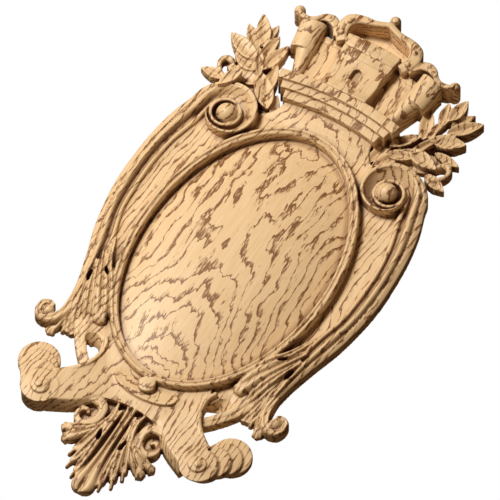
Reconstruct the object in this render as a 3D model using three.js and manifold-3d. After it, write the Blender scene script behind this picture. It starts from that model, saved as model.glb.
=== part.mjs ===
// A carved oak cartouche: an oval boss in a moulded ring, a scrolled frame with acanthus,
// a mural crown on top with a laurel spray on each side, and curled strapwork below.
//
// It is modelled as it lies on its back, in millimetres: u to the right, v up the plaque
// and h the height above the wall. The last lines stand it up, so that it faces -Y.
// The whole plaque is carved from one blank, so every form below is joined into one solid.
import * as THREE from "three";
import { mergeVertices } from "three/addons/utils/BufferGeometryUtils.js";
import Module from "manifold-3d";

const wasm = await Module();
wasm.setup();

// Driving dimensions, mm
const OVAL = { v: -15.5, a: 107.3, b: 165.7 }; // outer edge of the ring round the boss
const RING = { width: 9.4, crest: 23, groove: 20.5 };
const BOSS = { edge: 11, rise: 20, power: 2.6 };
const FIELD_HEIGHT = 12; // the ground between ring and frame
const NECK = { top: 17, foot: 12.5 }; // its height under the crown and above the ring
const VOLUTE = { u: 95, v: 127, cup: 17, ball: 12.3, channel: 13, start: 15, end: 350, wide: 40, tight: 17.8 };
const CURL = { u: 131, v: -160, ball: 6.6, height: 15 };
const STRAP = { sheet: 15.5, front: 21, ledge: 12.5 };
const CORNICE = { radius: 300, v: 202, steps: [[0, 11, 33, 69], [10.5, 19, 29, 64], [18.5, 28, 25, 58.5]] };
const KEEP = { foot: 24.5, top: 28, height: 34, wall: 20.5 };
const FINIAL = { r: 5.8, h: 22 };

const TOUCH = 0.01; // points nearer than this are one point
const FACET = 0.45; // how far the carved surface may stray when its smallest facets are merged

// three.js geometry as a solid. A mirrored or reversed geometry is turned the right way out.
function solid(geometry) {
  const bare = geometry.index ? geometry.toNonIndexed() : geometry.clone();
  const points = new THREE.BufferGeometry().setAttribute("position", bare.getAttribute("position"));
  const merged = mergeVertices(points, 1e-4);
  const triVerts = new Uint32Array(merged.index.array);
  const vertProperties = merged.attributes.position.array;
  const made = new wasm.Manifold(new wasm.Mesh({ numProp: 3, vertProperties, triVerts }));
  if (made.volume() > 0) return made;
  for (let i = 0; i < triVerts.length; i += 3) [triVerts[i], triVerts[i + 1]] = [triVerts[i + 1], triVerts[i]];
  return new wasm.Manifold(new wasm.Mesh({ numProp: 3, vertProperties, triVerts }));
}

// The same form on the right and, mirrored, on the left
function pair(geometry) {
  return [solid(geometry), solid(geometry.clone().scale(-1, 1, 1))];
}

// The triangles that close a flat loop of points numbered from first on
function cap(loop, first, onward) {
  const alongLoop = THREE.ShapeUtils.isClockWise(loop) !== onward;
  const corners = THREE.ShapeUtils.triangulateShape(loop, []);
  return corners.flatMap(([a, b, c]) => (alongLoop ? [a, b, c] : [a, c, b])).map((i) => first + i);
}

// A closed body through sections, each a loop of [u, v, h]. flat gives the first and last loop in a plane, for the caps.
function loft(sections, flat) {
  const n = sections[0].length;
  const rows = sections.length;
  const index = [];
  const turns = flat ? rows - 1 : rows;
  for (let i = 0; i < turns; i++) {
    const next = (i + 1) % rows;
    for (let j = 0; j < n; j++) {
      const k = (j + 1) % n;
      index.push(i * n + j, i * n + k, next * n + k, i * n + j, next * n + k, next * n + j);
    }
  }
  if (flat) {
    index.push(...cap(flat[0], 0, false), ...cap(flat[1], (rows - 1) * n, true));
  }
  const geometry = new THREE.BufferGeometry();
  geometry.setAttribute("position", new THREE.Float32BufferAttribute(sections.flat(2), 3));
  geometry.setIndex(index);
  return geometry;
}

// A raised form between two rails, each a list of [u, v]. top(t) is its upper line as
// [share of the way from rail a to rail b, height]; its underside lies on the wall.
function between(railA, railB, top, closed = false) {
  const last = railA.length - 1;
  const flats = [];
  const sections = railA.map(([ua, va], i) => {
    const [ub, vb] = railB[i];
    const line = top(i / last);
    const loop = [[line[0][0], 0], ...line, [line.at(-1)[0], 0]];
    const width = Math.hypot(ub - ua, vb - va);
    flats.push(loop.map(([f, h]) => new THREE.Vector2(f * width, h)));
    return loop.map(([f, h]) => [ua + (ub - ua) * f, va + (vb - va) * f, h]);
  });
  return loft(sections, closed ? null : [flats[0], flats[last]]);
}

// Evenly spaced points on a smooth line through the given ones
function smooth(points, steps) {
  const curve = new THREE.SplineCurve(points.map(([u, v]) => new THREE.Vector2(u, v)));
  return Array.from({ length: steps + 1 }, (_, i) => curve.getPoint(i / steps).toArray());
}

// An outline as a slab from the wall up to a height, with a small chamfer round its front edge
function slab(points, height, chamfer = 0) {
  const shape = new THREE.Shape(points.map(([u, v]) => new THREE.Vector2(u, v)));
  const options = { depth: height - chamfer, bevelEnabled: chamfer > 0, bevelThickness: chamfer, bevelSize: chamfer, bevelOffset: -chamfer, bevelSegments: 1, steps: 1, curveSegments: 12 };
  const geometry = new THREE.ExtrudeGeometry(shape, options);
  if (chamfer > 0) flattenBack(geometry);
  return geometry;
}

// Brings the back bevel of an extrusion onto the wall and out to the full outline
function flattenBack(geometry) {
  const at = geometry.attributes.position;
  for (let i = 0; i < at.count; i++) if (at.getZ(i) < 0) at.setZ(i, 0);
}

// A turned form on an axis that stands out of the wall at (u, v); profile is [radius, height] from the axis back to it
function turned(profile, u, v, sides = 20) {
  const points = profile.map(([r, h]) => new THREE.Vector2(r, h));
  return new THREE.LatheGeometry(points, sides).rotateX(Math.PI / 2).translate(u, v, 0);
}

// A ball that stands on a post of its own width
function knob(u, v, r, h, sides = 14) {
  const arc = Array.from({ length: 5 }, (_, i) => [r * Math.cos((i * Math.PI) / 8), h + r * Math.sin((i * Math.PI) / 8)]);
  arc[4][0] = 0;
  return turned([[0, 0], [r, 0], ...arc], u, v, sides);
}

// A pointed leaf from its base to its tip, with its edge height and the height of the ridge along its middle
function leaf([base, tip, width, edge, ridge], steps = 4) {
  const [dx, dy] = [tip[0] - base[0], tip[1] - base[1]];
  const length = Math.hypot(dx, dy);
  const [nx, ny] = [-dy / length, dx / length];
  const railA = [];
  const railB = [];
  for (let i = 0; i <= steps; i++) {
    const t = i / steps;
    const half = (width / 2) * Math.max(0.1, Math.sin(Math.PI * t ** 0.85) ** 0.8);
    const [cx, cy] = [base[0] + dx * t, base[1] + dy * t];
    railA.push([cx + nx * half, cy + ny * half]);
    railB.push([cx - nx * half, cy - ny * half]);
  }
  return between(railA, railB, () => [[0, edge], [0.5, ridge], [1, edge]]);
}

// An acanthus lobe along a smooth line through [u, v, h], round-ended, lower at its edges than along its middle
function lobe([line, width, blunt = 0.4], crown = 5, steps = 5) {
  const middle = new THREE.SplineCurve(line.map(([u, v]) => new THREE.Vector2(u, v)));
  const height = new THREE.SplineCurve(line.map(([, , h], i) => new THREE.Vector2(i, h)));
  const railA = [];
  const railB = [];
  for (let i = 0; i <= steps; i++) {
    const t = i / steps;
    const at = middle.getPoint(t);
    const along = middle.getTangent(t);
    const spread = 0.4 + 0.6 * THREE.MathUtils.smoothstep(t, 0, 0.6);
    const half = (width / 2) * spread * (i === steps ? blunt : 1);
    railA.push([at.x - along.y * half, at.y + along.x * half]);
    railB.push([at.x + along.y * half, at.y - along.x * half]);
  }
  return between(railA, railB, (t) => {
    const h = height.getPoint(t).y;
    return [[0, h - crown], [0.5, h], [1, h - crown]];
  });
}

// Oval forms
const SIDES = 40;
function ovalRail(inset) {
  return Array.from({ length: SIDES }, (_, i) => {
    const angle = (i / SIDES) * 2 * Math.PI;
    return [(OVAL.a - inset) * Math.cos(angle), OVAL.v + (OVAL.b - inset) * Math.sin(angle)];
  });
}

function ring() {
  const { crest, groove } = RING;
  const line = [[0, crest - 3], [0.15, crest], [0.4, crest], [0.52, groove], [0.66, crest + 0.5], [1, crest - 1.5]];
  return between(ovalRail(0), ovalRail(RING.width), () => line, true);
}

function boss() {
  const steps = 5;
  const profile = [[0, 0], [1, 0]];
  for (let i = 0; i <= steps; i++) {
    const r = Math.cos((i / steps) * (Math.PI / 2));
    profile.push([i === steps ? 0 : r, BOSS.edge + BOSS.rise * (1 - r ** BOSS.power)]);
  }
  const [a, b] = [OVAL.a - RING.width + 1, OVAL.b - RING.width + 1];
  return turned(profile, 0, 0, SIDES).scale(a, b, 1).translate(0, OVAL.v, 0);
}

// The ground: field and neck in one slab, on the right half and mirrored
const GROUND = [[0, 150], [60, 140], [75, 128], [118, 120], [140, 60], [140, -20], [126, -80], [112, -112], [108, -140],
  [98, -160], [60, -176], [0, -178]];
const NECK_EDGE = [[84, 128], [80, 140], [66, 147.5], [58, 153], [53, 160], [50.5, 168], [50, 180]];

function neck() {
  const rise = (t) => NECK.foot + (NECK.top - NECK.foot) * THREE.MathUtils.smoothstep(t, 0.1, 0.9);
  return between(NECK_EDGE.map(([u, v]) => [-u, v]), NECK_EDGE, (t) => [[0, rise(t)], [1, rise(t)]]);
}

function mirrored(points) {
  return [...points, ...points.toReversed().map(([u, v]) => [-u, v])].filter(
    (p, i, all) => i === 0 || Math.hypot(p[0] - all[i - 1][0], p[1] - all[i - 1][1]) > TOUCH,
  );
}

// Side frame: outer edge and inner edge, from the acanthus up to the volute, then the spiral
const FRAME_OUTER = [[121, -133], [124.5, -112], [132.5, -82], [141.5, -52], [147.5, -22], [151, 8], [151, 40], [148.5, 74], [143, 105], [135, 130]];
const FRAME_INNER = [[109, -133], [111, -112], [112.5, -82], [117, -52], [125.5, -22], [127.8, 8], [128, 40], [124, 74], [115.5, 105], [111.8, 125]];
const FRAME_LINE = [[0, 13], [0.22, 15], [0.28, 12.5], [0.4, 18.5], [0.54, 18], [0.71, 10], [0.84, 15.5], [1, 15]];
const VOLUTE_LINE = [[0, 24], [0.1, 25], [0.22, 24], [0.36, 20.5], [0.54, 17.5], [0.71, 15.5], [0.84, 14.5], [1, 14]];

function mix(a, b, t) {
  return a.map(([f, h], i) => [f + (b[i][0] - f) * t, h + (b[i][1] - h) * t]);
}

function sideFrame() {
  const straight = 13;
  const spiral = 14;
  const outer = smooth(FRAME_OUTER, straight);
  const inner = smooth(FRAME_INNER, straight);
  for (let i = 1; i <= spiral; i++) {
    const share = i / spiral;
    const angle = THREE.MathUtils.degToRad(VOLUTE.start + (VOLUTE.end - VOLUTE.start) * share);
    const r = VOLUTE.wide - (VOLUTE.wide - VOLUTE.tight) * share ** 1.2;
    const at = (radius) => [VOLUTE.u + radius * Math.cos(angle), VOLUTE.v + radius * Math.sin(angle)];
    outer.push(at(r));
    inner.push(at(VOLUTE.cup - 1));
  }
  const turn = straight / (straight + spiral);
  return between(outer, inner, (t) => mix(FRAME_LINE, VOLUTE_LINE, THREE.MathUtils.smoothstep(t, turn - 0.03, turn + 0.16)));
}

function cup() {
  const { cup: r, channel } = VOLUTE;
  const profile = [[0, 0], [r, 0], [r, 20], [r - 1.4, 21.5], [r - 3.2, 20], [r - 3.8, channel], [0, channel]];
  return turned(profile, VOLUTE.u, VOLUTE.v, 18);
}

// The small curl at the foot of the frame
const CURL_OUTER = [[109, -133], [110.5, -147], [114.5, -160], [121, -169.5], [131, -173], [140, -170], [144, -161], [142.5, -151.5], [135, -147], [127.5, -149.5]];
const CURL_INNER = [[121, -133], [120.5, -146], [122.5, -155.5], [126, -162.5], [131, -166.5], [136, -164.5], [137.6, -159], [136, -154], [131.5, -152.5], [128, -153.5]];

function curl() {
  return between(smooth(CURL_OUTER, 14), smooth(CURL_INNER, 14), () => [[0, 13], [0.3, 16], [0.65, 13.5], [1, 15]]);
}

// Strapwork below the oval
const SHEET = [[0, -160], [50, -150], [58, -158], [61, -172], [63, -185], [68, -197], [77, -208], [82, -216], [78, -238],
  [64, -236], [50, -227], [34, -220.5], [25, -218.5], [12, -216], [0, -215]];
const ROLL = [[91.4, -242.8, 19.5, 21], [100, -230, 18.5, 16.5], [106.5, -219.5, 19.5, 12], [111, -210.5, 21.5, 8]];
const TURN = { thickness: 9, lean: 0.45 }; // each turn is cut free behind and leans towards the next one

function arm() {
  const upper = smooth([[56, -175], [63, -187], [69.5, -198.5], [79, -209], [91, -222]], 8);
  const lower = smooth([[26, -219], [38, -228.5], [49, -240], [63, -248.6], [77, -255.5]], 8);
  return between(upper, lower, (t) => [[0, 15.8 + 5 * t], [0.89, 15.6 + 5.4 * t], [1, 13 - 4 * t]]);
}

function lip() {
  const outer = smooth([[66, -160], [61.5, -170], [63, -184], [69, -197], [79, -208], [92, -218]], 10);
  const inner = smooth([[62, -158], [57, -169], [58.5, -186], [65, -200], [75.5, -211.5], [88, -222]], 10);
  return between(outer, inner, () => [[0, 18], [1, 18.5]]);
}

function strap() {
  const outer = smooth([[104, -140], [101, -158], [92, -174], [80, -189], [68, -201]], 8);
  const inner = smooth([[88, -146], [85, -160], [78, -174], [70, -184], [62, -192]], 8);
  return between(outer, inner, () => [[0, 12], [0.5, 13.5], [0.55, 12], [1, 12]]);
}

// The turns of a roll, from the front one down to the one on the wall
function roll() {
  const sides = 20;
  return ROLL.map(([u, v, r, h], i) => {
    const [nextU, nextV] = ROLL[i + 1] ?? [u, v];
    const low = i + 1 < ROLL.length ? h - TURN.thickness : 0;
    const circle = (cu, cv, height) => Array.from({ length: sides }, (_, k) => {
      const angle = (k / sides) * 2 * Math.PI;
      return [cu + r * Math.cos(angle), cv + r * Math.sin(angle), height];
    });
    const [back, front] = [circle(u + (nextU - u) * TURN.lean, v + (nextV - v) * TURN.lean, low), circle(u, v, h)];
    return loft([back, front], [back, front].map((loop) => loop.map(([x, y]) => new THREE.Vector2(x, y))));
  });
}

// The left-hand roll keeps the wood behind its front turn
function rollPost() {
  const [u, v, r, h] = ROLL[0];
  return turned([[0, 0], [r - 1, 0], [r - 1, h - 2], [0, h - 2]], -u, v, 20);
}

function rollEye() {
  const [u, v, , h] = ROLL[0];
  const coil = turned([[0, h - 2], [9, h - 2], [9, h + 2.6], [0, h + 3]], u - 0.5, v, 14);
  return [coil, turned([[0, h], [3.4, h], [3, h + 5], [0, h + 5]], u, v, 8)];
}

// A drop-shaped hollow in each shoulder, narrowing towards its point as it deepens
const DROP = smooth([[62, -188], [63.5, -172], [69, -160], [77, -155], [84, -159], [84.5, -166], [77, -175], [62, -188]], 18).slice(0, -1);
const DROP_TAPER = 0.62;

function hollow(depth) {
  const [u0, v0] = DROP[0];
  const section = (scale, h) => DROP.map(([u, v]) => [u0 + (u - u0) * scale, v0 + (v - v0) * scale, h]);
  const flat = (scale) => DROP.map(([u, v]) => new THREE.Vector2(u * scale, v * scale));
  const above = 24;
  return loft([section(1, above), section(1, STRAP.sheet), section(DROP_TAPER, depth)], [flat(1), flat(DROP_TAPER)]);
}

// The shield end under the ring, rising from the sheet to its rounded lower edge
function tongue() {
  const steps = 14;
  const [half, v0, drop] = [34, -189, 14];
  const angles = Array.from({ length: steps + 1 }, (_, i) => ((i / steps) * 2 - 1) * (Math.PI / 2));
  const lower = angles.map((a) => [half * Math.sin(a), v0 - 0.5 - drop * Math.cos(a)]);
  return between(lower.map(([u]) => [u, v0 + 9]), lower, () => [[0, STRAP.sheet - 0.5], [1, STRAP.sheet + 3.2]]);
}

// Mural crown
function cornice([near, far, height, half]) {
  const sweep = Math.asin(half / CORNICE.radius);
  const steps = 12;
  const centre = CORNICE.v - CORNICE.radius;
  const arc = (inset) => Array.from({ length: steps + 1 }, (_, i) => {
    const angle = sweep * ((2 * i) / steps - 1);
    return [(CORNICE.radius - inset) * Math.sin(angle), centre + (CORNICE.radius - inset) * Math.cos(angle)];
  });
  return between(arc(near), arc(far), () => [[0, height - 0.8], [0.1, height], [0.9, height], [1, height - 0.8]]);
}

function keep() {
  const { foot, top, height } = KEEP;
  const wall = (v0, w0, v1, w1, h) => slab([[-w0, v0], [w0, v0], [w1, v1 - 1.5], [w1 * 0.6, v1], [-w1 * 0.6, v1], [-w1, v1 - 1.5]], h, 0.6);
  const plinth = between([[-foot, 200], [-foot, 210]], [[foot, 200], [foot, 210]], (t) => [[0, height + 1 - 1.6 * t], [1, height + 1 - 1.6 * t]]);
  return [plinth, wall(196, foot, 249, top - 0.5, height - 1), wall(240, top - 0.5, 250, top + 0.3, height + 0.4), wall(249, top, 264, top + 2.5, height + 2)];
}

function keepWindow() {
  const arch = [[-4.3, 217], [4.3, 217], [4.3, 226], [3, 229.6], [0, 231.2], [-3, 229.6], [-4.3, 226]];
  return slab(arch, KEEP.height + 6).translate(0, 0, KEEP.height - 5);
}

function curtain() {
  const wall = slab([[18, 190], [60, 190], [62, 243], [52, 253.5], [26, 257.5]], KEEP.wall, 0.5);
  const course = slab([[18, 250.5], [55, 246.5], [56, 250], [52, 254], [18, 258]], KEEP.wall + 1.6, 0.5);
  return [wall, course];
}

function tower() {
  const dome = (low, high) => (t) => {
    const rise = low + (high - low) * t;
    return [[0, rise - 9], [0.12, rise - 3.5], [0.3, rise - 0.8], [0.5, rise], [0.7, rise - 0.8], [0.88, rise - 3.5], [1, rise - 9]];
  };
  const shaft = between([[48.5, 196], [49.5, 206], [53, 232]], [[62, 196], [63.5, 206], [72, 229]], dome(24, 30));
  const collar = between([[52, 229.5], [53.5, 243], [55.5, 263]], [[77.5, 225.5], [79.5, 238], [82, 255]], dome(31, 34.5));
  return [shaft, collar];
}

function sideRibbon() {
  const upper = smooth([[42, 262], [47, 272.5], [53, 277], [59.5, 277], [66, 273.5], [71, 267.5], [77, 264], [85, 265], [90, 268]], 11);
  const lower = smooth([[44, 254], [49.5, 262.5], [55, 266], [60.5, 265.5], [65.5, 261.5], [71, 257.8], [77, 256], [85, 258], [90, 263]], 11);
  return between(upper, lower, () => [[0, 27], [0.2, 29], [0.8, 30], [1, 29]]);
}

function arch() {
  const outer = smooth([[38, 250], [44.5, 260], [47.3, 271], [44.8, 282], [37.5, 288], [27, 290.8], [14, 292], [0, 298]], 12);
  const inner = smooth([[29, 256], [32.5, 263], [33.6, 270], [32.2, 276.5], [27, 280.5], [19, 283], [10, 286], [0, 290]], 12);
  return between(outer, inner, () => [[0, 30], [0.2, 32], [0.8, 33], [1, 31]]);
}

const STUDS = [[37.8, 276.5, 2.6, 33], [38.2, 261, 2.6, 33], [19, 287.6, 1.6, 33], [58, 271.5, 1.7, 30], [67.8, 264.8, 1.7, 30], [77.5, 260, 1.6, 30]];

function archFloor() {
  return slab([[0, 258], [34, 256], [38, 268], [34, 282], [14, 288], [0, 292]], 9);
}

// Laurel sprays, one list for each side: base, tip, width, edge height, ridge height
const RIGHT_SPRAY = [
  [[103, 234], [107, 265], 14, 12, 17], [[99, 224], [91.5, 254], 12, 11, 16], [[107, 230], [121.5, 255], 10, 10, 14],
  [[108, 220], [134.5, 249], 15, 11, 17], [[98, 205], [131.5, 219], 17, 12, 17], [[108, 196], [137.5, 194.5], 10, 9, 12],
  [[91, 202], [79, 238], 15, 11, 16], [[94, 205], [98, 233], 9, 12, 17], [[66, 178], [88, 206], 12, 13, 18],
  [[68, 168], [95.5, 180], 13, 13, 18], [[86, 184], [120, 178], 17, 12, 18], [[56, 152], [66, 192], 14, 9, 14],
  [[112, 169], [138.5, 162], 13, 9, 13], [[88, 180], [106, 216], 9, 12, 18], [[62, 150], [90, 190], 14, 11, 16],
];
const LEFT_SPRAY = [
  [[102, 216], [122.5, 250], 15, 12, 17], [[105, 214], [102.5, 247], 10, 11, 15], [[106, 209], [129.5, 233], 13, 11, 16],
  [[101, 198], [139.5, 214.5], 18, 12, 17], [[98, 202], [94.5, 235], 11, 12, 17], [[91, 190], [80.5, 230], 14, 12, 17],
  [[72, 166], [79.5, 205], 13, 12, 17], [[62, 154], [92, 190], 20, 12, 17], [[95, 188], [124, 196], 16, 12, 16],
  [[86, 176], [124, 180], 18, 10, 14], [[88, 182], [106, 214], 9, 12, 18], [[54, 150], [63, 176], 10, 9, 13],
  [[117, 166], [146, 165.5], 12, 9, 13], [[104, 176], [117, 149], 12, 24, 27],
];

function spray(leaves, side) {
  return leaves.map((one) => solid(leaf(one).scale(side, 1, 1)));
}

const SPRAY_WEB = [[52, 148], [60, 170], [80, 192], [94, 208], [108, 224], [112, 208], [104, 195], [122, 192],
  [116, 174], [94, 166], [80, 150]];

// Tendril that curls out of each spray
function tendril() {
  const outer = smooth([[116, 184], [122, 190.5], [129, 191.5], [134.5, 186], [134.5, 178], [129, 169], [120, 163]], 8);
  const inner = smooth([[120, 180], [124, 184], [128, 184.5], [129.5, 181], [128.5, 177], [124, 172], [116, 168]], 8);
  return between(outer, inner, () => [[0, 11], [0.5, 14], [1, 11]]);
}

// Acanthus at the foot of each frame: the line of each lobe, then its width
const SIDE_ACANTHUS = [
  [[[117, -52, 15], [105, -84, 22], [92, -106, 25], [83, -121, 21]], 12, 0.6],
  [[[117, -72, 16], [100, -106, 24], [87, -130, 24], [79, -150, 18]], 19, 0.7],
  [[[118, -84, 17], [108, -112, 23], [99, -136, 20], [92, -153, 13]], 12],
  [[[118, -96, 16], [111, -126, 19], [104, -150, 14], [97, -171, 7]], 11],
  [[[119, -110, 15], [114, -136, 17], [111, -154, 13], [106, -172, 7]], 9],
  [[[119, -118, 14], [117, -142, 16], [117, -162, 12], [121, -180, 5]], 13],
];
const SIDE_LEAF = [[116, -60], [74, -114], [69, -148], [92, -156], [98, -170], [110, -168], [118, -140], [124, -100]];

// Acanthus that hangs under the strapwork, right half
const FOOT_ACANTHUS = [
  [[[8, -222, 14], [11, -258, 15], [13, -288, 12], [16, -311, 6]], 9],
  [[[12, -224, 14], [14, -256, 16], [19, -282, 12], [25, -302, 6]], 10],
  [[[14, -228, 14], [17, -252, 16], [23, -272, 12], [30, -288, 6]], 11],
  [[[18, -246, 13], [28, -262, 16], [40, -271, 12], [46, -277, 7]], 13],
  [[[22, -248, 13], [32, -259, 16], [44, -263, 12], [54, -264, 7]], 11],
  [[[15, -216, 13], [13, -230, 16], [15, -244, 16], [21, -256, 13]], 8],
];
const FOOT_LEAF = [[0, -212], [20, -214], [30, -225], [38, -242], [28, -254], [45, -262], [46, -274], [28, -266], [22, -284],
  [15, -296], [12, -308], [0, -312]];
const FOOT_CURL = [[44, -222], [34, -219], [24, -223], [19.5, -232], [20, -244], [27, -254], [38, -257.5], [46.5, -252],
  [48.5, -243], [44, -236], [38, -235], [34.5, -240]];
const FOOT_CURL_INNER = [[46, -231], [38, -229.5], [31, -231], [28, -236], [29, -243], [33, -248.5], [38.5, -250],
  [42.5, -247], [43, -243], [41, -240.5], [39, -240], [37, -242]];

function footCurl() {
  const line = (t) => [[0, 15 - 4 * t], [0.7, 16 - 4 * t], [1, 13 - 3 * t]];
  const band = between(smooth(FOOT_CURL, 14), smooth(FOOT_CURL_INNER, 14), line);
  return [band, slab([[44, -224], [26, -224], [22, -240], [30, -253], [40, -254], [46, -243]], 6)];
}

function acanthus(lobes) {
  return lobes.flatMap((one) => pair(lobe(one)));
}

function footTongue() {
  const rail = [[6, -208], [5, -240], [5.5, -268], [8, -292], [12, -308], [11, -317], [5, -322]];
  const line = (t) => [[0, 11 - 5 * t], [0.3, 16 - 5 * t], [0.5, 13.5 - 5 * t], [0.7, 16 - 5 * t], [1, 11 - 5 * t]];
  return between(smooth(rail, 10), smooth(rail.map(([u, v]) => [-u, v]), 10), line);
}

// Everything joined into the one carved blank
const addCuts = (solids) => solids.reduce((sum, s) => sum.add(s));

function carve() {
  const recess = solid(slab(ovalRail(RING.width - 1), 40).translate(0, 0, BOSS.edge - 3));
  const base = solid(slab(mirrored(GROUND), FIELD_HEIGHT)).add(solid(neck())).subtract(recess);

  const parts = [base, solid(ring()), solid(boss()), solid(slab(mirrored(SHEET), STRAP.sheet, 0.8)).subtract(recess), solid(tongue())];
  parts.push(solid(turned([[0, 0], [9, 0], [9, 21.6], [7.8, 22.6], [0, 22.6]], 0, -187.5, 20)), solid(rollPost()));
  for (const form of [sideFrame(), cup(), curl(), arm(), strap(), lip(), ...roll(), ...rollEye()]) parts.push(...pair(form));
  parts.push(...pair(knob(VOLUTE.u, VOLUTE.v, VOLUTE.ball, 18, 20)), ...pair(knob(CURL.u, CURL.v + 1, CURL.ball, 11)));
  parts.push(...CORNICE.steps.map((step) => solid(cornice(step))), ...keep().map(solid));
  for (const form of [...curtain(), ...tower(), sideRibbon(), arch(), archFloor(), tendril(), ...footCurl(), slab(SIDE_LEAF, 8)]) parts.push(...pair(form));
  for (const [u, v, r, h] of STUDS) parts.push(...pair(turned([[0, h - 3], [r, h - 3], [r, h], [0, h + r]], u, v, 7)));
  parts.push(solid(knob(0, 303, FINIAL.r, FINIAL.h + 2)), ...pair(knob(90, 267, FINIAL.r, FINIAL.h)));
  parts.push(...spray(RIGHT_SPRAY, 1), ...spray(LEFT_SPRAY, -1), ...pair(slab(SPRAY_WEB, 8)));
  parts.push(...acanthus(SIDE_ACANTHUS), ...acanthus(FOOT_ACANTHUS), solid(footTongue()), solid(slab(mirrored(FOOT_LEAF), 7)));

  const hollows = [solid(hollow(2)), solid(hollow(-2).scale(-1, 1, 1))];
  return [...hollows, solid(keepWindow())].reduce((rest, s) => rest.subtract(s), addCuts(parts));
}

const carved = carve().asOriginal().simplify(FACET).getMesh();
const geometry = new THREE.BufferGeometry();
geometry.setAttribute("position", new THREE.BufferAttribute(carved.vertProperties, 3));
geometry.setIndex(new THREE.BufferAttribute(carved.triVerts, 1));

const cartouche = new THREE.Mesh(geometry, new THREE.MeshStandardMaterial({ color: 0xc9a070, roughness: 0.55, metalness: 0 }));
cartouche.name = "cartouche";

const plaque = new THREE.Group();
plaque.rotation.x = Math.PI / 2; // v becomes +Z and h points to -Y
plaque.add(cartouche);

export default plaque;
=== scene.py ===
# %% [markdown]
# A carved oak cartouche: an oval boss in a moulded ring, held by a scrolled frame with acanthus,
# with a mural crown and two laurel sprays above and curled strapwork below. A carver works all of
# it out of one blank of oak, so this lesson shapes each form as a closed body and then joins the
# bodies into one. The forms are laid out as on the carver's bench: the blank lies on its back,
# u runs to the right, v runs up the plaque and h stands out of the wall, all in millimetres.

# %% Load the frame
import math
import time

import bmesh
import bpy
import numpy as np
from mathutils import Matrix, Vector


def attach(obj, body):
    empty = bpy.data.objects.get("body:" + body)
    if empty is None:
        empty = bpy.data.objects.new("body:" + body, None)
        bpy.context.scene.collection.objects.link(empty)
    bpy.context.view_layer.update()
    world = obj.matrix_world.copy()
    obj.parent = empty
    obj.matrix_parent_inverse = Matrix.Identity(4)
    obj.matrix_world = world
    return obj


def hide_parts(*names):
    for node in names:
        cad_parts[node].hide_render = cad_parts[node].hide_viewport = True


START = time.time()
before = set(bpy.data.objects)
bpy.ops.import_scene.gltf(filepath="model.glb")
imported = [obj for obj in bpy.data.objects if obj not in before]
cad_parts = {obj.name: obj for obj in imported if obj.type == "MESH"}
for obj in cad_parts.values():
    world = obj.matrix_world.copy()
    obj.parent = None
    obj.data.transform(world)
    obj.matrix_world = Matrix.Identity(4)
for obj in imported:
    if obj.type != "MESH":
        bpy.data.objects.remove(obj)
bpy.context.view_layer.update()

# %% [markdown]
# The driving dimensions come first, so that one change moves every form that depends on it.
# Each one is a size that a carver would measure on the work.

# %% Driving dimensions, mm
OVAL_V = -15.5
OVAL_A = 107.3
OVAL_B = 165.7
RING_WIDTH = 9.4
BOSS_EDGE = 11.0
BOSS_RISE = 15.5
BOSS_POWER = 2.6
FIELD_HEIGHT = 12.0
VOLUTE_U = 95.0
VOLUTE_V = 127.0
CUP_RADIUS = 17.0
SHEET_HEIGHT = 15.5
KEEP_HEIGHT = 34.0
CORNICE_RADIUS = 300.0
CORNICE_V = 202.0
DETAIL = 2  # stations are this many times closer in the full model
print("the oval is", 2 * OVAL_A, "by", 2 * OVAL_B, "mm over its ring")

# %% [markdown]
# Most of the carving follows a line: a moulding round an oval, a scroll, a leaf. The line is drawn
# through a few points and smoothed the way a bent batten would lie, by a Catmull-Rom curve. A
# section is then drawn once and extruded from station to station along it. That is how a moulding
# plane or a gouge moves, and it keeps the crests and the grooves running with the form.

# %% A smooth line, and a body swept through sections
def smooth(points, steps):
    """Evenly shared points on a smooth line through the given ones."""
    knots = np.array(points, float)
    last = len(knots) - 1
    line = []
    for step in range(steps + 1):
        place = step / steps * last
        i = min(int(place), last - 1)
        t = place - i
        before, after = knots[max(i - 1, 0)], knots[min(i + 2, last)]
        here, there = knots[i], knots[i + 1]
        leave, arrive = (there - before) / 2, (after - here) / 2
        line.append(
            (2 * here - 2 * there + leave + arrive) * t ** 3
            + (3 * there - 3 * here - 2 * leave - arrive) * t ** 2
            + leave * t + here
        )
    return [tuple(p) for p in line]


def closed_body(bm):
    """Merges doubles, turns the faces outwards and says if the skin isn't closed."""
    bmesh.ops.remove_doubles(bm, verts=bm.verts, dist=1e-4)
    bmesh.ops.recalc_face_normals(bm, faces=bm.faces)
    if bm.calc_volume(signed=True) < 0:
        bmesh.ops.reverse_faces(bm, faces=bm.faces)
    if not all(edge.is_manifold for edge in bm.edges):
        print("an open skin was made, with", sum(not e.is_manifold for e in bm.edges),
              "loose edges")
    return bm


def sweep(stations, closed=False):
    """A loop of points is drawn at the first station and extruded through the others."""
    bm = bmesh.new()
    loop = [bm.verts.new(p) for p in stations[0]]
    first = [bm.edges.new(pair) for pair in zip(loop, loop[1:] + loop[:1])]
    edges = first
    for station in stations[1:]:
        made = bmesh.ops.extrude_edge_only(bm, edges=edges)["geom"]
        new = {item for item in made if isinstance(item, bmesh.types.BMVert)}
        edges = [item for item in made if isinstance(item, bmesh.types.BMEdge)]
        edges = [e for e in edges if e.verts[0] in new and e.verts[1] in new]
        loop = [next(e.other_vert(v) for e in v.link_edges if e.other_vert(v) in new) for v in loop]
        for vert, place in zip(loop, station):
            vert.co = place
    if closed:
        bmesh.ops.bridge_loops(bm, edges=first + edges)
    else:
        bmesh.ops.contextual_create(bm, geom=first)
        bmesh.ops.contextual_create(bm, geom=edges)
    return closed_body(bm)


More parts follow.
